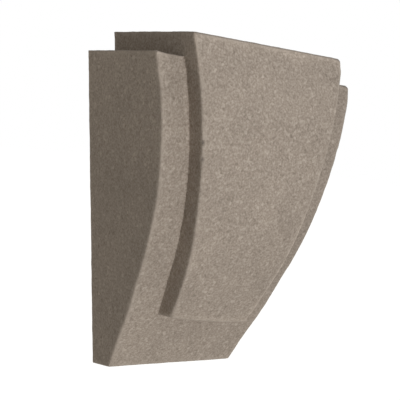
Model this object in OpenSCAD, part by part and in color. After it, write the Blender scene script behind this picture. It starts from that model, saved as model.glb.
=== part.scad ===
// Stone corbel, cast in one piece: a wedge that narrows downward, with a swept front and a raised block on it.
//
// The flat back is the plane y = 0 and the wall lies beyond it, towards +Y. The front faces -Y and +Z is up.
// The origin is the centre of the back. Heights below are counted from the front edge of the foot.

/* [Wedge body] */
// Height of the wedge body, from the front edge of its foot to its shoulders
body_height = 300; // [250:1:360]
// Width across the shoulders
shoulder_width = 235; // [205:1:290]
// Width across the foot
foot_width = 150; // [125:1:180]
// Depth of the foot, from the wall to its front edge
foot_depth = 31; // [15:0.5:50]
// How far the foot's back edge sits below its front edge
foot_fall = 4; // [0.5:0.5:10]

/* [Swept front] */
// Lean of the straight lower stretch of the front, in degrees out from the wall
ramp_angle = 28; // [20:0.5:34]
// Height at which that stretch turns into the swelling curve
ramp_height = 100; // [90:1:140]
// Radius of the swelling curve
swell_radius = 298; // [240:1:380]

/* [Raised block] */
// Width across the top of the block
block_top_width = 182; // [150:1:195]
// Width across the block at its lower end
block_foot_width = 95.5; // [70:0.5:118]
// How far the block stands proud of the body, square to the front
block_proud = 19; // [10:0.5:26]
// How far the block rises above the shoulders
block_rise = 21; // [8:0.5:40]
// Height of the block's lower end, where it meets the body's front
block_foot_height = 55; // [30:1:70]
// How far the lower end drops on its way out to the block's front
block_end_fall = 0.5; // [0:0.5:6]
// Rounding along the block's lower front edge
block_end_radius = 3; // [1:0.5:8]

/* [Hidden] */
$fn = 360;

// Where a straight stretch runs smoothly into an arc, its end is tucked this far inside the arc, so that the
// two outlines cross cleanly and leave no sliver between them
tuck = 0.002;

block_top = body_height + block_rise;
back_middle = (block_top - foot_fall) / 2;

// Side views are drawn as [depth out from the wall, height]. The ramp runs along ramp_up, and ramp_out points
// square out of it.
ramp_up = [sin(ramp_angle), cos(ramp_angle)];
ramp_out = [cos(ramp_angle), -sin(ramp_angle)];
function ramp_depth(height) = foot_depth + height * tan(ramp_angle);
// Centre of the swelling curve, placed so that the curve leaves the ramp with no kink
swell_centre = [ramp_depth(ramp_height), ramp_height] - swell_radius * ramp_out;

// Spans that are sure to pass right through the piece
overrun = 20;
full_depth = swell_centre.x + swell_radius + block_proud + overrun;
full_width = shoulder_width + overrun;

// Widths across the body and the block at a height, along their straight sides
function spread(low, low_width, high, high_width, height) =
    low_width + (high_width - low_width) * (height - low) / (high - low);
function body_width(height) = spread(0, foot_width, body_height, shoulder_width, height);
function block_width(height) = spread(block_foot_height, block_foot_width, block_top, block_top_width, height);

// Lower end of the block: its root on the body's front, and the front corner it would have if left sharp
end_root = [ramp_depth(block_foot_height), block_foot_height];
end_reach = block_proud / cos(ramp_angle) - block_end_fall * tan(ramp_angle);
end_corner = end_root + [end_reach, -block_end_fall];
// The rounding of that corner: its centre, and the ends of its arc on the lower end and on the ramp
end_back = (end_root - end_corner) / norm(end_root - end_corner);
end_bisector = (end_back + ramp_up) / norm(end_back + ramp_up);
end_half_angle = acos(end_back * ramp_up) / 2;
end_centre = end_corner + end_bisector * block_end_radius / sin(end_half_angle);
end_tangent = block_end_radius / tan(end_half_angle);
arc_start = end_corner + end_back * end_tangent + (end_centre - end_corner) * tuck;
arc_end = end_corner + ramp_up * end_tangent + (end_centre - end_corner) * tuck;
// A point on the same line as the lower end, well inside the body
end_inside = end_root + end_back * block_proud;

// Side view of what lies between the wall and the front once that is pushed out by a distance. The points
// given run from the wall to the start of the ramp; the ramp, the swell and a level top follow them.
module side_view(below, pushed_out, top) {
    radius = swell_radius + pushed_out;
    ramp_end = swell_centre + (radius - tuck) * ramp_out;
    swell_low = (below[len(below) - 1].y + ramp_end.y) / 2;
    polygon(concat(below, [ramp_end, [0, ramp_end.y]]));
    intersection() {
        translate(swell_centre) circle(r = radius);
        translate([0, swell_low]) square([full_depth, top - swell_low]);
    }
}

// Front view of a stretch between two heights whose straight sides spread from one width to another
module front_view(low, low_width, high, high_width) {
    polygon([[-low_width / 2, low], [low_width / 2, low], [high_width / 2, high], [-high_width / 2, high]]);
}

// A front view carried straight out from the wall
module out_from_wall() {
    rotate([90, 0, 0]) linear_extrude(full_depth) children();
}

// A side view carried straight across the width
module across() {
    rotate([90, 0, -90]) linear_extrude(full_width, center = true) children();
}

// The wedge body, whose foot rises from the wall to its front edge
module body() {
    intersection() {
        across() side_view([[0, -foot_fall], [foot_depth, 0]], 0, body_height);
        out_from_wall() front_view(-foot_fall, body_width(-foot_fall), body_height, shoulder_width);
    }
}

// The raised block, whose lower front edge is rounded
module raised_block() {
    intersection() {
        across() union() {
            side_view([[0, end_inside.y], end_inside, arc_start, arc_end], block_proud, block_top);
            translate(end_centre) circle(r = block_end_radius);
        }
        out_from_wall() front_view(end_corner.y, block_width(end_corner.y), block_top, block_top_width);
    }
}

// The one casting, with the centre of its back at the origin
module corbel() {
    color("#9c9183") translate([0, 0, -back_middle]) union() {
        body();
        raised_block();
    }
}

corbel();
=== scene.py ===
"""Stone corbel: the cast surface, its finish, the light on it and the camera.

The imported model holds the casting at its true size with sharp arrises. This script meshes the same form
again, finely, with eased arrises, tamped sand relief and a few knocks, and dresses it as cast stone.

A name that ends in _mm is in millimetres. All other lengths are in metres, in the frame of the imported
model: the back is the plane y = 0, the front faces -Y, and +Z is up. A Pair of heights or depths is a span,
from where a thing begins to where it is whole.
"""

import logging
import math
from dataclasses import dataclass
from enum import Enum
from typing import Any

import bmesh
import bpy
import numpy as np
from mathutils import Matrix, Vector

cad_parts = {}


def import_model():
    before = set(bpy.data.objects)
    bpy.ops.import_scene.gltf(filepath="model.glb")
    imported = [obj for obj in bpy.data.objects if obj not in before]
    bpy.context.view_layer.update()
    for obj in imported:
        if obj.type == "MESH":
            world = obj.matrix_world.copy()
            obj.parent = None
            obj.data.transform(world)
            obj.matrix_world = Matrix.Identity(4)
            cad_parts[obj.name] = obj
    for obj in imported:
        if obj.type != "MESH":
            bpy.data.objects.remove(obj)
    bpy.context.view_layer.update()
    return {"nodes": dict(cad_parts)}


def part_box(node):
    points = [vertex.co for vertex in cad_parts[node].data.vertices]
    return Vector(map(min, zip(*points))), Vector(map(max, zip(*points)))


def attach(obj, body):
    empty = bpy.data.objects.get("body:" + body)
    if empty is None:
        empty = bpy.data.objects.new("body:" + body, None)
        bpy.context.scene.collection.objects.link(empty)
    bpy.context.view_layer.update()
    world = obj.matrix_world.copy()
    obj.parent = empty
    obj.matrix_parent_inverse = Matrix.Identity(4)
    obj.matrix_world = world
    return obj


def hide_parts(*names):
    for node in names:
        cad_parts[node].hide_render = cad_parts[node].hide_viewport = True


LOG = logging.getLogger("corbel")
MM = 0.001
NODE = "corbel"
BODY = "root"
PURE_WHITE = (1.0, 1.0, 1.0, 1.0)
Array = np.ndarray
Pair = tuple[float, float]


class Face(Enum):
    """The faces that bound the wedge body, and likewise the raised block. The value is its column."""

    SIDE = 0
    FRONT = 1
    TOP = 2
    FOOT = 3
    BACK = 4


class Mark(Enum):
    """What the mesh notes down at each point for the finish to read. The value is the attribute's name."""

    # How near the point is to an arris, from 0 to 1
    ARRIS = "arris"
    # How much paler the skin is painted there than its mean, as a share, or darker where it is below 0, with
    # painted shade and highlights in it
    TONE = "tone"


def smooth_step(value: Array) -> Array:
    """Rises smoothly from 0 to 1 as the value does, and stays level outside that."""
    held = np.clip(value, 0.0, 1.0)
    return held * held * (3.0 - 2.0 * held)


def risen(value: Array, span: Pair) -> Array:
    """Rises smoothly from 0 at the span's first value to 1 at its second, which may be the lower one."""
    return smooth_step((value - span[0]) / (span[1] - span[0]))


def linear_from_hex(code: str) -> tuple[float, float, float, float]:
    """Turns an sRGB colour into the linear one that shaders take.

    Args:
        code: the colour as #rrggbb.

    Returns:
        Red, green, blue and an alpha of 1, linear.
    """
    channels = [int(code[i : i + 2], 16) / 255.0 for i in (1, 3, 5)]
    linear = [c / 12.92 if c <= 0.04045 else ((c + 0.055) / 1.055) ** 2.4 for c in channels]
    return (linear[0], linear[1], linear[2], 1.0)


def add_node(
    tree: bpy.types.NodeTree,
    kind: str,
    inputs: dict[str | int, Any] | None = None,
    settings: dict[str, Any] | None = None,
) -> bpy.types.Node:
    """Adds a node with its settings, values and links.

    Args:
        tree: the node tree that takes it.
        kind: the node's type name.
        inputs: a value, or an output socket to link from, for each input by name or number.
        settings: attributes of the node itself, which are set first.

    Returns:
        The new node.
    """
    node = tree.nodes.new(kind)
    for name, value in (settings or {}).items():
        setattr(node, name, value)
    for key, value in (inputs or {}).items():
        if isinstance(value, bpy.types.NodeSocket):
            tree.links.new(value, node.inputs[key])
        else:
            node.inputs[key].default_value = value
    return node


def add_object(name: str, data: bpy.types.ID) -> bpy.types.Object:
    """Adds an object to the scene.

    Args:
        name: its name.
        data: its mesh, lamp or camera.

    Returns:
        The new object.
    """
    made = bpy.data.objects.new(name, data)
    bpy.context.scene.collection.objects.link(made)
    return made


@dataclass(frozen=True)
class LatticeNoise:
    """A smooth random field in space, from -1 to 1, about one swell to each cell."""

    cell_mm: float
    seed: int
    stretch: tuple[float, float, float] = (1.0, 1.0, 1.0)
    span: int = 64

    def at(self, points_mm: Array) -> Array:
        """Reads the field.

        Args:
            points_mm: points, one to a row.

        Returns:
            The field's value at each point.
        """
        rng = np.random.default_rng(self.seed)
        lattice = rng.uniform(-1.0, 1.0, (self.span,) * 3)
        cells = points_mm / (self.cell_mm * np.array(self.stretch)) + self.span * 8
        corner = np.floor(cells).astype(int)
        part = smooth_step(cells - corner)
        total = np.zeros(len(points_mm))
        for step in np.ndindex(2, 2, 2):
            weight = np.prod(np.where(step, part, 1.0 - part), axis=1)
            i, j, k = ((corner + step) % self.span).T
            total += weight * lattice[i, j, k]
        return total


@dataclass
class CorbelForm:
    """The casting's form as a distance: below 0 in the stone, 0 on its surface and above 0 outside.

    Points come as rows of x, y, z in millimetres in the frame. Side views are [depth out from the wall,
    height above the front edge of the foot], as in the construction drawing.
    """

    lowest_mm: float
    body_height_mm: float = 300.0
    shoulder_width_mm: float = 235.0
    foot_width_mm: float = 150.0
    foot_depth_mm: float = 31.0
    foot_fall_mm: float = 4.0
    ramp_angle_deg: float = 28.0
    ramp_height_mm: float = 100.0
    swell_radius_mm: float = 298.0
    block_top_width_mm: float = 182.0
    block_foot_width_mm: float = 95.5
    block_proud_mm: float = 19.0
    block_rise_mm: float = 21.0
    block_foot_height_mm: float = 55.0
    block_end_fall_mm: float = -0.8
    block_end_radius_mm: float = 2.6
    # The mould is a little out of true. The block's end rises on its way out instead of falling, lies low on
    # the right and sweeps up to its left corner, and the block thickens towards it
    end_right_drop_mm: float = 3.6
    end_left_rise_mm: float = 7.5
    block_swelling_mm: float = 2.0
    swelling_span_mm: Pair = (185.0, 120.0)
    # The shoulders fall towards the wall, the left one rises to its outer edge and the right one sits lower
    shoulder_fall_mm: float = 1.2
    left_lip_mm: float = 0.9
    lip_width_mm: float = 14.0
    right_shoulder_drop_mm: float = 2.4
    # The body's front is fuller along its outer edges, higher up on the right, and at the block's end
    left_fullness_mm: float = 2.0
    left_full_heights_mm: Pair = (155.0, 276.0)
    left_full_fades_mm: Pair = (60.0, 24.0)
    right_fullness_mm: float = 3.2
    right_full_span_mm: Pair = (180.0, 300.0)
    end_fullness_mm: float = 1.8
    end_fullness_height_mm: float = 62.0
    end_fullness_reach_mm: float = 40.0
    fading_mm: float = 22.0
    # Rounding of the arrises, at the back and at the front
    back_ease_mm: float = 0.9
    front_ease_mm: float = 1.2
    ease_reach_mm: float = 13.0
    forward_reach_mm: float = 39.0
    # The upper front corners are more rounded than the arrises by these, the right ones the more
    left_corner_mm: float = 1.0
    right_corner_mm: float = 3.6
    # Rounding along the top of the block's front
    top_ease_mm: float = 2.0
    # Rounding of the upright edge at the left of the block's end, and how much more its outer corner has
    end_side_radius_mm: float = 2.0
    end_corner_mm: float = 3.0
    # How far around an edge that is out of true the mesh is carried along with it
    carry_reach_mm: float = 30.0
    # The fillet where the block meets the body
    crease_mm: float = 0.3
    # Bringing points on to the surface: the probe for its slope, a slope's least square, a stride's most
    probe_mm: float = 0.05
    least_steepness: float = 0.1
    longest_stride_mm: float = 1.5

    def __post_init__(self) -> None:
        """Works out the directions and points that the distances are measured from."""
        lean = math.radians(self.ramp_angle_deg)
        self.block_top_mm = self.body_height_mm + self.block_rise_mm
        self.block_widening_mm = self.block_top_width_mm - self.block_foot_width_mm
        self.ramp_up = np.array([math.sin(lean), math.cos(lean)])
        self.ramp_out = np.array([math.cos(lean), -math.sin(lean)])
        ramp_depth = self.foot_depth_mm + self.ramp_height_mm * math.tan(lean)
        ramp_end = np.array([ramp_depth, self.ramp_height_mm])
        self.swell_centre = ramp_end - self.swell_radius_mm * self.ramp_out
        root_depth = self.foot_depth_mm + self.block_foot_height_mm * math.tan(lean)
        self.end_root = np.array([root_depth, self.block_foot_height_mm])
        reach = self.block_proud_mm / math.cos(lean) - self.block_end_fall_mm * math.tan(lean)
        end_length = math.hypot(reach, self.block_end_fall_mm)
        self.end_down = np.array([-self.block_end_fall_mm, -reach]) / end_length
        foot_length = math.hypot(self.foot_depth_mm, self.foot_fall_mm)
        self.foot_down = np.array([self.foot_fall_mm, -self.foot_depth_mm]) / foot_length

    def height_of(self, z_mm: float) -> float:
        """Height above the front edge of the foot of a height in the frame."""
        return z_mm - self.lowest_mm - self.foot_fall_mm

    def front_depth(self, height_mm: float, pushed_out_mm: float) -> float:
        """Depth of the swept front at a height on its curved part, once it is pushed out by a distance."""
        rise = height_mm - self.swell_centre[1]
        return self.swell_centre[0] + math.sqrt((self.swell_radius_mm + pushed_out_mm) ** 2 - rise * rise)

    def block_half_width(self, height_mm: Array) -> Array:
        """Half the width across the raised block at each height."""
        part = (height_mm - self.block_foot_height_mm) / (self.block_top_mm - self.block_foot_height_mm)
        return (self.block_foot_width_mm + self.block_widening_mm * part) / 2.0

    def end_drop(self, x: Array) -> Array:
        """How far the block's end lies below its true height, at each place across."""
        leftward = np.clip(0.5 - x / self.block_foot_width_mm, 0.0, 1.0)
        return self.end_right_drop_mm - self.end_left_rise_mm * leftward**2

    def swelling(self, height: Array) -> Array:
        """How much further the block stands proud at each height than it does at its top."""
        return self.block_swelling_mm * risen(height, self.swelling_span_mm)

    def fullness(self, x: Array, height: Array) -> Array:
        """Works out how much further out the body's front stands than its true sweep.

        Args:
            x: how far across each point is.
            height: how high each point is.

        Returns:
            The extra depth at each point.
        """
        (low, high), (low_fade, high_fade) = self.left_full_heights_mm, self.left_full_fades_mm
        left = smooth_step((height - low) / low_fade + 0.5)
        left *= smooth_step((high - height) / high_fade + 0.5)
        right = risen(height, self.right_full_span_mm)
        along = np.where(x > 0.0, self.right_fullness_mm * right, self.left_fullness_mm * left)
        lean = (self.shoulder_width_mm - self.foot_width_mm) / self.body_height_mm
        inner = self.block_half_width(height)
        margin = (self.foot_width_mm + lean * height) / 2.0 - inner
        across = np.clip((np.abs(x) - inner) / margin, 0.0, 1.0)
        from_end = np.abs(height - self.end_fullness_height_mm)
        at_end = smooth_step(1.0 - from_end / self.end_fullness_reach_mm)
        return along * across + self.end_fullness_mm * at_end

    def shoulder_drop(self, x: Array, depth: Array) -> Array:
        """Works out how far the shoulders lie below their true level.

        Args:
            x: how far across each point is.
            depth: how far out from the wall each point is.

        Returns:
            The drop at each point.
        """
        behind = np.clip(1.0 - depth / self.front_depth(self.body_height_mm, 0.0), 0.0, 1.0)
        lip = smooth_step((-x - self.shoulder_width_mm / 2.0) / self.lip_width_mm + 1.0)
        uneven = np.where(x > 0.0, self.right_shoulder_drop_mm, -self.left_lip_mm * lip)
        return self.shoulder_fall_mm * behind + uneven

    def outward(self, side_view: Array) -> Array:
        """Works out how far points stand out from the swept front, square to it.

        Args:
            side_view: the points as seen from the side, one to a row.

        Returns:
            The distance of each point.
        """
        from_centre = side_view - self.swell_centre
        on_ramp = from_centre @ self.ramp_up < 0.0
        along = np.where(on_ramp, from_centre @ self.ramp_out, np.hypot(*from_centre.T))
        return along - self.swell_radius_mm

    def drawn_to_edges(self, points_mm: Array) -> Array:
        """Carries points of the true block to the edges of this one, which is a little out of true.

        Args:
            points_mm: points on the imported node, one to a row.

        Returns:
            The moved points.
        """
        x, height = points_mm[:, 0], self.height_of(points_mm[:, 2])
        side_view = np.stack([-points_mm[:, 1], height], axis=1)
        from_end = height - self.block_foot_height_mm
        beside = np.abs(x) - self.block_foot_width_mm / 2.0
        share = smooth_step(1.0 - np.abs(from_end) / self.carry_reach_mm)
        share *= smooth_step(1.0 - beside / self.carry_reach_mm)
        outside = np.abs(x) - self.block_half_width(height)
        on_shoulder = smooth_step(1.0 - np.abs(height - self.body_height_mm) / self.carry_reach_mm)
        on_shoulder *= smooth_step(1.0 + outside / self.carry_reach_mm)
        down = self.end_drop(x) * share + self.shoulder_drop(x, -points_mm[:, 1]) * on_shoulder
        out = self.outward(side_view)
        proud = np.clip(out / self.block_proud_mm, 0.0, 1.0)
        near_front = np.clip(1.0 + out / self.fading_mm, 0.0, 1.0)
        forward = self.swelling(height) * proud + self.fullness(x, height) * (1.0 - proud) * near_front
        moved = points_mm.copy()
        moved[:, 1] -= self.ramp_out[0] * forward
        moved[:, 2] += self.ramp_out[1] * forward - down
        return moved

    def _side(self, x: Array, height: Array, low: Pair, high: Pair) -> Array:
        """Distance out from a leaning side.

        Args:
            x: how far across each point is.
            height: how high each point is.
            low: a height and the full width there.
            high: a greater height and the full width there.

        Returns:
            The distance of each point.
        """
        lean = (high[1] - low[1]) / 2.0 / (high[0] - low[0])
        half = low[1] / 2.0 + (height - low[0]) * lean
        return (np.abs(x) - half) / math.hypot(1.0, lean)

    def _faces(self, points_mm: Array) -> tuple[Array, Array, Array]:
        """Distances of points from each face of the body and of the block.

        Args:
            points_mm: points, one to a row.

        Returns:
            The depths of the points, the distances from the body's faces and those from the block's, with a
            column for each Face.
        """
        x, depth = points_mm[:, 0], -points_mm[:, 1]
        height = self.height_of(points_mm[:, 2])
        side_view = np.stack([depth, height], axis=1)
        out = self.outward(side_view)
        body_low, body_high = (0.0, self.foot_width_mm), (self.body_height_mm, self.shoulder_width_mm)
        block_low = (self.block_foot_height_mm, self.block_foot_width_mm)
        block_high = (self.block_top_mm, self.block_top_width_mm)
        body = [
            self._side(x, height, body_low, body_high),
            out - self.fullness(x, height),
            height - self.body_height_mm + self.shoulder_drop(x, depth),
            (side_view - [self.foot_depth_mm, 0.0]) @ self.foot_down,
            -depth,
        ]
        block = [
            self._side(x, height, block_low, block_high),
            out - self.block_proud_mm - self.swelling(height),
            height - self.block_top_mm,
            (side_view + [[0.0, 1.0]] * self.end_drop(x)[:, None] - self.end_root) @ self.end_down,
            -depth,
        ]
        return depth, np.stack(body, axis=1), np.stack(block, axis=1)

    def _nearness(self, faces: Array, *which: Face) -> Array:
        """How near points are to the corner of some faces, from 0 at the reach to 1 at the corner."""
        columns = faces[:, [face.value for face in which]]
        return np.prod(np.clip(1.0 + columns / self.ease_reach_mm, 0.0, 1.0), axis=1)

    def _worn_corner(self, x: Array, faces: Array) -> Array:
        """How much more a solid is rounded around its upper front corners than along its arrises."""
        most = np.where(x > 0.0, self.right_corner_mm, self.left_corner_mm)
        return most * self._nearness(faces, Face.SIDE, Face.FRONT, Face.TOP)

    def _eased(self, faces: Array, radius: Array) -> Array:
        """Distance from the solid that the faces bound, with its arrises rounded.

        Args:
            faces: the distances from its faces.
            radius: the rounding at each point.

        Returns:
            The distance of each point.
        """
        beyond = np.maximum(faces + radius[:, None], 0.0)
        return np.minimum(faces.max(axis=1), -radius) + np.linalg.norm(beyond, axis=1)

    def solids(self, points_mm: Array) -> tuple[Array, Array, Array, Array]:
        """Distances from the body and the block, each with its arrises eased.

        Args:
            points_mm: points, one to a row.

        Returns:
            The distances from the body, those from the block, and the distances from the faces of each.
        """
        depth, body, block = self._faces(points_mm)
        x = points_mm[:, 0]
        forward = smooth_step(depth / self.forward_reach_mm)
        ease = self.back_ease_mm + (self.front_ease_mm - self.back_ease_mm) * forward
        body_ease = ease + self._worn_corner(x, body)
        top = smooth_step(self._nearness(block, Face.TOP, Face.FRONT) * 2.0)
        block_ease = ease + (self.top_ease_mm - ease) * top + self._worn_corner(x, block)
        end = smooth_step(self._nearness(block, Face.FOOT, Face.FRONT) * 2.0)
        block_ease = block_ease + (self.block_end_radius_mm - block_ease) * end
        upright = smooth_step(self._nearness(block, Face.FOOT, Face.SIDE) * 2.0) * (x < 0.0)
        block_ease = block_ease + (self.end_side_radius_mm - block_ease) * upright
        tip = self._nearness(block, Face.FOOT, Face.SIDE, Face.FRONT) * (x < 0.0)
        block_ease = block_ease + self.end_corner_mm * tip
        return self._eased(body, body_ease), self._eased(block, block_ease), body, block

    def distance(self, points_mm: Array) -> Array:
        """Measures from the whole casting, with a small fillet where the block meets the body.

        Args:
            points_mm: points, one to a row.

        Returns:
            The distance of each point.
        """
        body, block, _, _ = self.solids(points_mm)
        crease = self.crease_mm
        inside = np.maximum(crease - np.stack([body, block], axis=1), 0.0)
        return np.maximum(crease, np.minimum(body, block)) - np.linalg.norm(inside, axis=1)

    def slope(self, points_mm: Array) -> Array:
        """Works out the direction in which the distance grows, and how fast.

        Args:
            points_mm: points, one to a row.

        Returns:
            The distance's slope at each point.
        """
        steps = np.eye(3) * self.probe_mm
        gain = [self.distance(points_mm + step) - self.distance(points_mm - step) for step in steps]
        return np.stack(gain, axis=1) / (2.0 * self.probe_mm)

    def settle(self, points_mm: Array, passes: int = 6) -> Array:
        """Moves points on to the surface.

        Args:
            points_mm: points near it, one to a row.
            passes: how often to step towards it.

        Returns:
            The moved points.
        """
        for _ in range(passes):
            slope = self.slope(points_mm)
            steepness = np.maximum((slope**2).sum(axis=1), self.least_steepness)
            stride = self.distance(points_mm) / steepness
            stride = np.clip(stride, -self.longest_stride_mm, self.longest_stride_mm)
            points_mm = points_mm - slope * stride[:, None]
        return points_mm

    def arris(self, points_mm: Array, width_mm: float) -> Array:
        """Works out how near surface points are to an arris.

        Args:
            points_mm: points on the surface, one to a row.
            width_mm: how far from an arris its nearness ends.

        Returns:
            The nearness of each point: 1 on an arris, 0 at the width from it.
        """
        body, block, body_faces, block_faces = self.solids(points_mm)
        near = np.ones(len(points_mm))
        for distance, faces in ((body, body_faces), (block, block_faces)):
            second = np.sort(faces, axis=1)[:, -2]
            closeness = np.clip(1.0 + second / width_mm, 0.0, 1.0)
            near = np.where(np.abs(distance) < self.crease_mm, np.minimum(near, closeness), near)
        return near


@dataclass(frozen=True)
class SkinToneAndPaintedLight:
    """How the skin's tone drifts over the casting, with painted shade and highlights in it: the share that
    it is paler than its mean.
    """

    form: CorbelForm
    # How far from a face the surface may stand and still be of that face
    face_reach_mm: float = 1.5
    # Painted shade below the block's end, faded out past its sides, and painted shade on what faces up
    under_end_shade: float = -0.05
    under_reach_mm: float = 24.0
    under_side_mm: float = 3.0
    top_shade: float = -0.35
    facing_up: Pair = (0.3, 0.65)
    # A painted highlight close to the block on the left, painted shade on both margins, darker towards the
    # right, and painted shade on the block's sides back from their front arris, most at their top
    left_of_block_highlight: float = 0.05
    beside_reach_mm: float = 9.0
    left_margin_shade: float = -0.045
    right_margin_shade: float = -0.045
    right_margin_shade_span_mm: Pair = (90.0, 180.0)
    above_end_span_mm: Pair = (0.0, -12.0)
    rightward: float = -0.13
    rightward_span_mm: Pair = (30.0, 120.0)
    block_side_shade: float = -0.12
    block_side_shade_depth_mm: Pair = (0.0, -25.0)
    block_side_low: float = 0.03
    block_side_low_span_mm: Pair = (150.0, 60.0)
    # Paler on the upper left
    paler_upper_left: float = 0.10
    paler_upper_left_span_mm: Pair = (180.0, 310.0)
    paler_upper_left_across_mm: Pair = (-30.0, -90.0)
    # Worn paler, with a painted highlight: the block's right arris over its lower part, and its left one
    # close to the top
    rubbed_and_highlight: float = 0.38
    rubbed_and_highlight_width_mm: float = 2.8
    rubbed_and_highlight_right_span_mm: Pair = (200.0, 150.0)
    rubbed_and_highlight_left_span_mm: Pair = (265.0, 315.0)
    # A paler skin on the block's front along its top, a painted highlight along its lower end, and by what
    # share there is more of both for each millimetre to the right, between two places
    rim: float = 0.12
    rim_reach_mm: float = 15.0
    rim_growth: float = 0.4 / 60.0
    rim_growth_across_mm: Pair = (-30.0, 90.0)
    # Paler at the foot's left corner, and painted shade half way down the left side next to its front arris:
    # each one's middle height and its reach, and its span across or back
    left_foot: float = 0.09
    left_foot_at_mm: Pair = (35.0, 40.0)
    left_foot_across_mm: Pair = (-45.0, -65.0)
    left_side_shade: float = -0.09
    left_side_shade_at_mm: Pair = (135.0, 85.0)
    left_side_shade_depth_mm: Pair = (-60.0, 0.0)
    # Painted shade in the knocks
    knock_shade: float = -0.5

    def _on(self, distance: Array) -> Array:
        """Says how far points belong to a face, from how far they stand from it."""
        return smooth_step(self.face_reach_mm - np.abs(distance))

    def _around(self, height: Array, place_mm: Pair) -> Array:
        """Rises to 1 at a place's middle height, from 0 at its reach above and below."""
        return smooth_step(1.0 - np.abs(height - place_mm[0]) / place_mm[1])

    def _body_front(self, x: Array, height: Array, block: Array) -> Array:
        """Works out the tone of the body's front.

        Args:
            x: how far across each point is.
            height: how high each point is.
            block: the distances from the block's faces.

        Returns:
            The tone that each point has if it is on the body's front.
        """
        below, beside = block[:, Face.FOOT.value], block[:, Face.SIDE.value]
        above_end = risen(below, self.above_end_span_mm)
        # Painted shade on the base below the block's end
        under = np.clip(1.0 - below / self.under_reach_mm, 0.0, 1.0) * (below > 0.0)
        under *= smooth_step(1.0 - beside / self.under_side_mm)
        # A painted highlight on the left margin close to the block
        close = smooth_step(1.0 - beside / self.beside_reach_mm) * (beside > 0.0)
        # Painted shade over both margins
        right = self.right_margin_shade * risen(height, self.right_margin_shade_span_mm)
        margin = smooth_step(beside) * np.where(x > 0.0, right, self.left_margin_shade)
        left_foot = self._around(height, self.left_foot_at_mm) * risen(x, self.left_foot_across_mm)
        tone = self.under_end_shade * under + self.left_foot * left_foot
        return tone + (self.left_of_block_highlight * close * (x < 0.0) + margin) * above_end

    def _block_front(self, x: Array, height: Array, block: Array) -> Array:
        """Works out the tone of the block's front and its arrises.

        Args:
            x: how far across each point is.
            height: how high each point is.
            block: the distances from the block's faces.

        Returns:
            The tone of each point, 0 off the block.
        """
        front, beside = block[:, Face.FRONT.value], block[:, Face.SIDE.value]
        # A paler skin along the top and a painted highlight along the lower end, more of both to the right
        growth = self.rim_growth * np.clip(x, *self.rim_growth_across_mm)
        past_rim = np.maximum(block[:, Face.FOOT.value], block[:, Face.TOP.value])
        rim = self.rim * (1.0 + growth) * smooth_step(1.0 + past_rim / self.rim_reach_mm)
        # Worn paler, with a painted highlight, along the block's front arrises
        from_arris = np.maximum(np.abs(beside), np.abs(front))
        rubbed_and_highlight = np.clip(1.0 - from_arris / self.rubbed_and_highlight_width_mm, 0.0, 1.0)
        right, left = risen(height, self.rubbed_and_highlight_right_span_mm), risen(height, self.rubbed_and_highlight_left_span_mm)
        return rim * self._on(front) + self.rubbed_and_highlight * rubbed_and_highlight * np.where(x > 0.0, right, left)

    def at(self, points_mm: Array, normals: Array, knock_shade: Array) -> Array:
        """Works out the tone.

        Args:
            points_mm: the surface's points, one to a row.
            normals: the outward direction at each.
            knock_shade: how far each is inside a knock, from 0 to 1, which sets the painted shade in it.

        Returns:
            The share by which each point is paler than the mean.
        """
        x, height = points_mm[:, 0], self.form.height_of(points_mm[:, 2])
        _, _, body, block = self.form.solids(points_mm)
        on_body = self._on(body.max(axis=1))
        on_front = self._on(body[:, Face.FRONT.value])
        tone = self._body_front(x, height, block) * on_front + self._block_front(x, height, block)
        across = (x - self.paler_upper_left_across_mm[0]) / (self.paler_upper_left_across_mm[1] - self.paler_upper_left_across_mm[0])
        tone += self.paler_upper_left * risen(height, self.paler_upper_left_span_mm) * np.clip(across, 0.0, 1.0) * on_body
        # Painted shade on the block's sides, deepest high up and back from their front arris, less low down
        upward = np.clip(height / self.form.body_height_mm, 0.0, 1.0)
        side = self.block_side_shade * upward * risen(block[:, Face.FRONT.value], self.block_side_shade_depth_mm)
        side += self.block_side_low * risen(height, self.block_side_low_span_mm)
        tone += side * self._on(block[:, Face.SIDE.value]) * (1.0 - on_body)
        rightness = np.clip(2.0 * x / self.form.shoulder_width_mm, 0.0, 1.0)
        tone += self.rightward * rightness * risen(height, self.rightward_span_mm)
        # Painted shade half way down the left side, next to its front arris
        left_side_shade = self._around(height, self.left_side_shade_at_mm) * self._on(body[:, Face.SIDE.value])
        left_side_shade *= risen(body[:, Face.FRONT.value], self.left_side_shade_depth_mm) * (x < 0.0)
        tone += self.left_side_shade * left_side_shade * (1.0 - on_front)
        # Painted shade on what faces up, and in the knocks
        return tone + self.top_shade * risen(normals[:, 2], self.facing_up) + self.knock_shade * knock_shade


@dataclass(frozen=True)
class Knock:
    """A small dent: where its middle is, how far it reaches and how deep it goes."""

    centre_mm: Array
    radius_mm: float
    depth_mm: float

    def pressed(self, points_mm: Array) -> Array:
        """How deep it presses in at each point."""
        away = ((points_mm - self.centre_mm) ** 2).sum(axis=1) / self.radius_mm**2
        return self.depth_mm * np.clip(1.0 - away, 0.0, 1.0) ** 1.5


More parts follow.
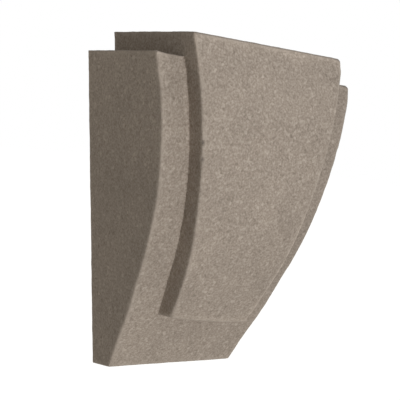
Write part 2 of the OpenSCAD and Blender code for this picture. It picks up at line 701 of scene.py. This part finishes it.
@dataclass
class TampedRelief:
    """The relief of a dry-tamped casting: mould waves, packed sand, small voids and worn arrises."""

    form: CorbelForm
    # How deep each layer of the relief is, and the size of its swells: the mould's waves, its drift, the
    # packing of the mix and its sand
    layers_mm: tuple[Pair, ...] = ((0.22, 58.0), (0.10, 17.0), (0.09, 6.5), (0.10, 3.0))
    # The arrises: their width, the depth of their wear, the length of a worn stretch, and a bias to worn
    arris_width_mm: float = 6.0
    arris_wear_mm: float = 0.3
    wear_cell_mm: float = 9.0
    wear_bias: float = 0.35
    # Voids lie on the faces, and knocks on the arrises: how many, and the least and greatest of their sizes
    voids: int = 140
    void_radii_mm: Pair = (1.2, 2.4)
    void_depths_mm: Pair = (0.22, 0.55)
    arris_knocks: int = 60
    knock_radii_mm: Pair = (1.4, 3.0)
    knock_depths_mm: Pair = (0.10, 0.32)
    # The nearness to an arris at which faces end, and from which knocks lie, and their distance off the wall
    face_nearness: float = 0.05
    knock_nearness: float = 0.85
    knock_off_wall_mm: float = 4.0
    # The depth at which a knock's painted shade is at its darkest
    knock_shade_depth_mm: float = 1.0
    # The arrises further right than this are whole
    knocks_left_of_mm: float = 50.0
    # The back is struck off across its width, which drags the sand: the depth of the drag and of the pits,
    # the size of their swells, how much longer the drag's are across, and how close to the wall both are
    drag_mm: float = 0.16
    drag_cell_mm: float = 2.6
    drag_stretch: tuple[float, float, float] = (26.0, 1.0, 1.0)
    pit_mm: float = 0.12
    pit_cell_mm: float = 4.0
    back_reach_mm: float = 1.5
    seed: int = 41
    # Two nicks on the block's left front arris, as height in the frame, reach and depth
    left_arris_nicks_mm: tuple[tuple[float, float, float], ...] = ((68.2, 3.0, 1.4), (53.5, 3.0, 1.3))

    def nicks(self) -> list[Knock]:
        """Places the nicks that stand at known heights on the block's left front arris.

        Returns:
            The nicks.
        """
        found = []
        for z, reach, depth in self.left_arris_nicks_mm:
            height = self.form.height_of(z)
            out = self.form.front_depth(height, self.form.block_proud_mm)
            centre = np.array([-float(self.form.block_half_width(height)), -out, z])
            found.append(Knock(centre, reach, depth))
        return found

    def scattered(self, points_mm: Array, arris: Array) -> tuple[list[Knock], list[Knock]]:
        """Places small voids over the faces and small knocks along the arrises.

        Args:
            points_mm: the surface's points.
            arris: how near each is to an arris.

        Returns:
            The voids and the knocks.
        """
        rng = np.random.default_rng(self.seed)
        flat = points_mm[arris < self.face_nearness]
        off_wall = points_mm[:, 1] < -self.knock_off_wall_mm
        edge = points_mm[(arris > self.knock_nearness) & off_wall]
        voids = [
            Knock(flat[i], rng.uniform(*self.void_radii_mm), rng.uniform(*self.void_depths_mm))
            for i in rng.integers(0, len(flat), self.voids)
        ]
        knocks = [
            Knock(edge[i], rng.uniform(*self.knock_radii_mm), rng.uniform(*self.knock_depths_mm))
            for i in rng.integers(0, len(edge), self.arris_knocks)
        ]
        return voids, [knock for knock in knocks if knock.centre_mm[0] < self.knocks_left_of_mm]

    def _struck_back(self, points_mm: Array) -> Array:
        """Works out the relief of the back, which is struck off across its width.

        Args:
            points_mm: the surface's points.

        Returns:
            How far each point stands out, if it is on the back.
        """
        dragged = LatticeNoise(self.drag_cell_mm, self.seed + 6, self.drag_stretch).at(points_mm)
        pitted = LatticeNoise(self.pit_cell_mm, self.seed + 7).at(points_mm)
        return self.drag_mm * (dragged - 1.0) + self.pit_mm * (pitted - 1.0)

    def carve(self, points_mm: Array, normals: Array) -> tuple[Array, dict[Mark, Array]]:
        """Presses the relief into the surface.

        Args:
            points_mm: the surface's points.
            normals: the outward direction at each.

        Returns:
            The moved points, and the marks for the finish.
        """
        arris = self.form.arris(points_mm, self.arris_width_mm)
        height = np.zeros(len(points_mm))
        for order, (deep_mm, cell_mm) in enumerate(self.layers_mm, start=1):
            height += deep_mm * LatticeNoise(cell_mm, self.seed + order).at(points_mm)
        worn = LatticeNoise(self.wear_cell_mm, self.seed + 5).at(points_mm)
        wear = np.clip(worn + self.wear_bias, 0.0, 1.0)
        height -= self.arris_wear_mm * wear * np.clip(2.0 * arris - 1.0, 0.0, 1.0)
        voids, knocks = self.scattered(points_mm, arris)
        # How far each point is inside a knock, which sets the painted shade there
        knock_shade = np.zeros(len(points_mm))
        for void in voids:
            height -= void.pressed(points_mm)
        # A knock goes in one way over all of its reach, so that the faces around an arris don't fold
        sunk = np.zeros_like(points_mm)
        for knock in knocks + self.nicks():
            pressed = knock.pressed(points_mm)
            outward = (normals * pressed[:, None]).sum(axis=0)
            sunk -= pressed[:, None] * (outward / np.linalg.norm(outward))
            knock_shade = np.maximum(knock_shade, np.minimum(pressed / self.knock_shade_depth_mm, 1.0))
        on_back = smooth_step(1.0 + points_mm[:, 1] / self.back_reach_mm)
        on_back *= smooth_step(normals[:, 1] * 2.0 - 1.0)
        height += (self._struck_back(points_mm) - height) * on_back
        tone = SkinToneAndPaintedLight(self.form).at(points_mm, normals, knock_shade)
        marks = {Mark.ARRIS: arris * (0.5 + 0.5 * wear), Mark.TONE: tone}
        return points_mm + normals * height[:, None] + sunk, marks


@dataclass(frozen=True)
class CastStone:
    """Cast stone: sand and cement tamped damp into a mould, with a fine matt sanded face."""

    # A warm grey matrix, which gives the piece its overall colour
    matrix: str = "#a09488"
    # Sand grains paler and darker than the matrix, which give the eye its salt and pepper
    pale_grain: str = "#cabeb2"
    dark_grain: str = "#6b5f53"
    # Worn stone along the arrises, a little paler than the skin, which also paints the highlight they catch
    rubbed_and_highlight: str = "#b7ab9f"
    # The mix of sand and cement at its true grain, with single coarser flecks: how much of the grains'
    # colours the mix takes, what share of the flecks is pale and dark, and how strong they are
    grain_mm: float = 1.9
    grain_detail: float = 1.2
    grain_spread: float = 0.28
    grain_most: float = 0.52
    fleck_mm: float = 2.6
    pale_flecks: float = 0.12
    pale_fleck_most: float = 0.45
    dark_flecks: float = 0.1
    dark_fleck_most: float = 0.35
    # How much of that worn and highlighted colour an arris takes, and the nearness at which that starts
    rubbed_and_highlight_most: float = 0.7
    rubbed_and_highlight_from: float = 0.1
    # Uneven damp and cement, as blotches and wide clouds, and how far these lighten and darken
    blotch_mm: float = 34.0
    blotch_detail: float = 3.0
    blotch_swing: float = 0.055
    cloud_mm: float = 110.0
    cloud_detail: float = 1.0
    cloud_swing: float = 0.03
    drift_spread: float = 0.2
    noise_roughness: float = 0.55
    # Dry mineral surface: very rough, ordinary index of silicate and lime
    roughness: float = 0.93
    roughness_swing: float = 0.05
    roughness_spread: float = 0.2
    ior: float = 1.5
    # Sand grains too fine for the mesh
    bump_mm: float = 0.42

    def material(self) -> bpy.types.Material:
        """Builds the material.

        Returns:
            The finished material.
        """
        made = bpy.data.materials.new("tamped_cast_stone")
        made.use_nodes = True
        tree = made.node_tree
        tree.nodes.clear()
        place = add_node(tree, "ShaderNodeTexCoord").outputs["Object"]
        sand, blotch, cloud = (
            add_node(
                tree,
                "ShaderNodeTexNoise",
                {
                    "Vector": place,
                    "Scale": 1.0 / (across * MM),
                    "Detail": detail,
                    "Roughness": self.noise_roughness,
                },
            ).outputs["Fac"]
            for across, detail in (
                (self.grain_mm, self.grain_detail),
                (self.blotch_mm, self.blotch_detail),
                (self.cloud_mm, self.cloud_detail),
            )
        )
        fleck_scale = 1.0 / (self.fleck_mm * MM)
        cells = add_node(tree, "ShaderNodeTexVoronoi", {"Vector": place, "Scale": fleck_scale})
        split = add_node(tree, "ShaderNodeSeparateColor", {"Color": cells.outputs["Color"]})
        fleck = split.outputs["Red"]
        arris, tone = (
            add_node(tree, "ShaderNodeAttribute", settings={"attribute_name": mark.value}).outputs["Fac"]
            for mark in (Mark.ARRIS, Mark.TONE)
        )
        colour = linear_from_hex(self.matrix)
        middle, spread = 0.5, self.grain_spread
        # Each layer: its pattern, the values of that at which it starts and is full, its share then and its
        # colour
        for pattern, start, full, most, tint in (
            (sand, middle, middle + spread, self.grain_most, self.pale_grain),
            (sand, middle, middle - spread, self.grain_most, self.dark_grain),
            (fleck, 1.0 - self.pale_flecks, 1.0, self.pale_fleck_most, self.pale_grain),
            (fleck, self.dark_flecks, 0.0, self.dark_fleck_most, self.dark_grain),
            # The arrises: worn paler, with a painted highlight
            (arris, self.rubbed_and_highlight_from, 1.0, self.rubbed_and_highlight_most, self.rubbed_and_highlight),
        ):
            ends = {"Value": pattern, 1: start, 2: full, 4: most}
            share = add_node(tree, "ShaderNodeMapRange", ends)
            colour = add_node(
                tree,
                "ShaderNodeMix",
                {"Factor": share.outputs[0], 6: colour, 7: linear_from_hex(tint)},
                {"data_type": "RGBA"},
            ).outputs[2]
        # Each drift: its pattern, the least and greatest values of that, and how far it lightens and darkens
        low, high = middle - self.drift_spread, middle + self.drift_spread
        for pattern, least, greatest, swing in (
            (blotch, low, high, self.blotch_swing),
            (cloud, low, high, self.cloud_swing),
            # The tone, which holds painted shade and highlights as well as the skin's own drift
            (tone, -1.0, 1.0, 1.0),
        ):
            ends = {"Value": pattern, 1: least, 2: greatest, 3: 1.0 - swing, 4: 1.0 + swing}
            shade = add_node(tree, "ShaderNodeMapRange", ends)
            colour = add_node(
                tree, "ShaderNodeVectorMath", {0: colour, "Scale": shade.outputs[0]}, {"operation": "SCALE"}
            ).outputs[0]
        raised = {"Height": sand, "Distance": self.bump_mm * MM, "Strength": 1.0}
        bump = add_node(tree, "ShaderNodeBump", raised).outputs["Normal"]
        roughness = add_node(
            tree,
            "ShaderNodeMapRange",
            {
                "Value": sand,
                1: middle - self.roughness_spread,
                2: middle + self.roughness_spread,
                3: self.roughness - self.roughness_swing,
                4: self.roughness + self.roughness_swing,
            },
        ).outputs[0]
        skin = {"Base Color": colour, "Roughness": roughness, "IOR": self.ior, "Normal": bump}
        shader = add_node(tree, "ShaderNodeBsdfPrincipled", skin)
        add_node(tree, "ShaderNodeOutputMaterial", {"Surface": shader.outputs[0]})
        return made


@dataclass
class CorbelCasting:
    """The one casting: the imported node's mesh, made again finely and dressed."""

    form: CorbelForm
    relief: TampedRelief
    finish: CastStone
    grid_mm: float = 1.64
    octree_depth: int = 8
    crease_angle_deg: float = 35.0
    name: str = "corbel_casting"

    def _remeshed(self, node: bpy.types.Object) -> bpy.types.Mesh:
        """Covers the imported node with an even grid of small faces.

        Args:
            node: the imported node's object.

        Returns:
            A new mesh.
        """
        scratch = add_object("scratch", node.data.copy())
        grid = scratch.modifiers.new("grid", "REMESH")
        grid.mode = "SHARP"
        grid.octree_depth = self.octree_depth
        grid.scale = max(node.dimensions) / (self.grid_mm * MM * 2**self.octree_depth)
        grid.use_remove_disconnected = False
        settled = scratch.evaluated_get(bpy.context.evaluated_depsgraph_get())
        mesh = bpy.data.meshes.new_from_object(settled)
        bpy.data.objects.remove(scratch)
        return mesh

    def _mark_creases(self, mesh: bpy.types.Mesh) -> None:
        """Keeps the inner corners, where the block meets the body, crisp in the shading.

        Args:
            mesh: the casting's mesh.
        """
        editable = bmesh.new()
        editable.from_mesh(mesh)
        limit = -math.radians(self.crease_angle_deg)
        for edge in editable.edges:
            edge.smooth = edge.calc_face_angle_signed(0.0) > limit
        editable.to_mesh(mesh)
        editable.free()

    def build(self, node: bpy.types.Object) -> bpy.types.Object:
        """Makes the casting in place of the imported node.

        Args:
            node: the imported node's object.

        Returns:
            The casting's object.
        """
        mesh = self._remeshed(node)
        flat = np.empty(len(mesh.vertices) * 3)
        mesh.vertices.foreach_get("co", flat)
        points = self.form.settle(self.form.drawn_to_edges(flat.reshape(-1, 3) / MM))
        slope = self.form.slope(points)
        normals = slope / np.maximum(np.linalg.norm(slope, axis=1), 1e-6)[:, None]
        points, marks = self.relief.carve(points, normals)
        mesh.vertices.foreach_set("co", (points * MM).ravel())
        for mark, values in marks.items():
            mesh.attributes.new(mark.value, "FLOAT", "POINT").data.foreach_set("value", values)
        mesh.shade_smooth()
        self._mark_creases(mesh)
        mesh.materials.clear()
        mesh.materials.append(self.finish.material())
        mesh.name = self.name
        piece = add_object(self.name, mesh)
        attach(piece, BODY)
        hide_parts(NODE)
        triangles = sum(len(face.vertices) - 2 for face in mesh.polygons)
        LOG.info("%s: %d triangles", self.name, triangles)
        return piece


@dataclass(frozen=True)
class SoftBox:
    """A lamp behind a diffuser, aimed at the piece's middle.

    Its level is how bright it makes a white card at the piece that faces it, where 1 is white.
    """

    name: str
    azimuth_deg: float
    elevation_deg: float
    level: float
    colour: str = "#ffffff"
    distance: float = 2.2
    size: float = 0.8

    def build(self) -> None:
        """Makes the lamp."""
        lamp = bpy.data.lights.new(self.name, "AREA")
        lamp.color = linear_from_hex(self.colour)[:3]
        lamp.shape = "RECTANGLE"
        lamp.size = lamp.size_y = self.size
        lamp.energy = self.level * (math.pi * self.distance) ** 2
        placed = add_object(self.name, lamp)
        placed.visible_camera = False
        away = direction(self.azimuth_deg, self.elevation_deg)
        placed.location = away * self.distance
        placed.rotation_euler = away.to_track_quat("Z", "Y").to_euler()


def direction(azimuth_deg: float, elevation_deg: float) -> Vector:
    """Points from the piece towards a place around it.

    Args:
        azimuth_deg: 0 is straight in front, at -Y, and a positive angle is towards +X.
        elevation_deg: the angle above the level.

    Returns:
        A direction of length 1.
    """
    azimuth, elevation = math.radians(azimuth_deg), math.radians(elevation_deg)
    level = math.cos(elevation)
    return Vector((math.sin(azimuth) * level, -math.cos(azimuth) * level, math.sin(elevation)))


@dataclass
class Studio:
    """A pale floor well below the piece, an even surround and soft lamps."""

    floor_drop: float = 1.2
    floor_size: float = 60.0
    floor_colour: str = "#dcdad6"
    floor_glow: float = 0.92
    surround_level: float = 0.20
    surround_colour: str = "#fff9f0"
    lamps: tuple[SoftBox, ...] = (
        SoftBox("key", -3.0, -10.0, 0.55),
        SoftBox("top", 55.0, 50.0, 0.33),
        SoftBox("back", -125.0, 25.0, 0.12, "#fffcf4"),
    )

    def _seen_directly(self, tree: bpy.types.NodeTree) -> bpy.types.NodeSocket:
        """Says whether a ray is the camera's own, or shows the surround in a gloss or through a glass.

        Args:
            tree: the node tree that asks.

        Returns:
            The socket that is 1 for such a ray and 0 for the light's own.
        """
        path = add_node(tree, "ShaderNodeLightPath").outputs
        seen = path["Is Camera Ray"]
        for ray in (path["Is Glossy Ray"], path["Is Transmission Ray"]):
            seen = add_node(tree, "ShaderNodeMath", {0: seen, 1: ray}, {"operation": "MAXIMUM"}).outputs[0]
        return seen

    def surround(self) -> None:
        """Makes the world: an even soft light, which shows as plain white."""
        world = bpy.data.worlds.new("surround")
        world.use_nodes = True
        tree = world.node_tree
        tree.nodes.clear()
        tint = linear_from_hex(self.surround_colour)
        light = add_node(tree, "ShaderNodeBackground", {"Color": tint, "Strength": self.surround_level})
        white = add_node(tree, "ShaderNodeBackground", {"Color": PURE_WHITE, "Strength": 1.0})
        seen = self._seen_directly(tree)
        shown = add_node(tree, "ShaderNodeMixShader", {0: seen, 1: light.outputs[0], 2: white.outputs[0]})
        add_node(tree, "ShaderNodeOutputWorld", {"Surface": shown.outputs[0]})
        bpy.context.scene.world = world

    def floor(self, lowest: float) -> None:
        """Makes the floor below the piece.

        Args:
            lowest: the height of the piece's lowest point.
        """
        half, level = self.floor_size / 2.0, lowest - self.floor_drop
        mesh = bpy.data.meshes.new("floor")
        corners = [(x * half, y * half, level) for x, y in ((-1, -1), (1, -1), (1, 1), (-1, 1))]
        mesh.from_pydata(corners, [], [(0, 1, 2, 3)])
        made = bpy.data.materials.new("studio_floor")
        made.use_nodes = True
        tree = made.node_tree
        tree.nodes.clear()
        matt = add_node(tree, "ShaderNodeBsdfDiffuse", {"Color": linear_from_hex(self.floor_colour)})
        glow = add_node(tree, "ShaderNodeEmission", {"Color": PURE_WHITE, "Strength": self.floor_glow})
        seen = self._seen_directly(tree)
        dark = add_node(tree, "ShaderNodeEmission", {"Strength": 0.0})
        lift = add_node(tree, "ShaderNodeMixShader", {0: seen, 1: dark.outputs[0], 2: glow.outputs[0]})
        both = add_node(tree, "ShaderNodeAddShader", {0: matt.outputs[0], 1: lift.outputs[0]})
        add_node(tree, "ShaderNodeOutputMaterial", {"Surface": both.outputs[0]})
        mesh.materials.append(made)
        made_floor = add_object("floor", mesh)

    def build(self, lowest: float) -> None:
        """Sets up the floor, the surround, the lamps and the plain view transform.

        Args:
            lowest: the height of the piece's lowest point.
        """
        self.floor(lowest)
        self.surround()
        for lamp in self.lamps:
            lamp.build()
        bpy.context.scene.view_settings.view_transform = "Standard"


@dataclass(frozen=True)
class ViewPoint:
    """Where the camera stands: to the left of the front, a little above, and leaning to one side."""

    azimuth_deg: float = -38.07
    elevation_deg: float = 4.18
    lean_deg: float = 6.64
    distance: float = 0.9698
    aim: tuple[float, float, float] = (-0.00155, -0.04879, 0.01029)
    lens_mm: float = 88.57
    sensor_mm: float = 36.0

    def build(self) -> None:
        """Makes the camera and hands it to the scene."""
        back = direction(self.azimuth_deg, self.elevation_deg)
        level = Vector((0.0, 0.0, 1.0)).cross(back).normalized()
        above = back.cross(level)
        lean = math.radians(self.lean_deg)
        right = level * math.cos(lean) + above * math.sin(lean)
        up = above * math.cos(lean) - level * math.sin(lean)
        stand = Vector(self.aim) + back * self.distance
        optics = bpy.data.cameras.new("camera")
        optics.sensor_width = self.sensor_mm
        optics.lens = self.lens_mm
        camera = add_object("camera", optics)
        turned = Matrix((right, up, back)).transposed().to_4x4()
        camera.matrix_world = Matrix.Translation(stand) @ turned
        bpy.context.scene.camera = camera


def main() -> None:
    """Builds the casting, the studio and the camera, in that order."""
    logging.basicConfig(level=logging.INFO, format="%(name)s: %(message)s")
    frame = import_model()
    lowest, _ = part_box(NODE)
    form = CorbelForm(lowest_mm=lowest.z / MM)
    casting = CorbelCasting(form, TampedRelief(form), CastStone())
    piece = casting.build(frame["nodes"][NODE])
    LOG.info("%s stands for %s", piece.name, NODE)
    Studio().build(lowest.z)
    LOG.info("studio set")
    ViewPoint().build()
    LOG.info("camera set")


if __name__ == "__main__":
    main()
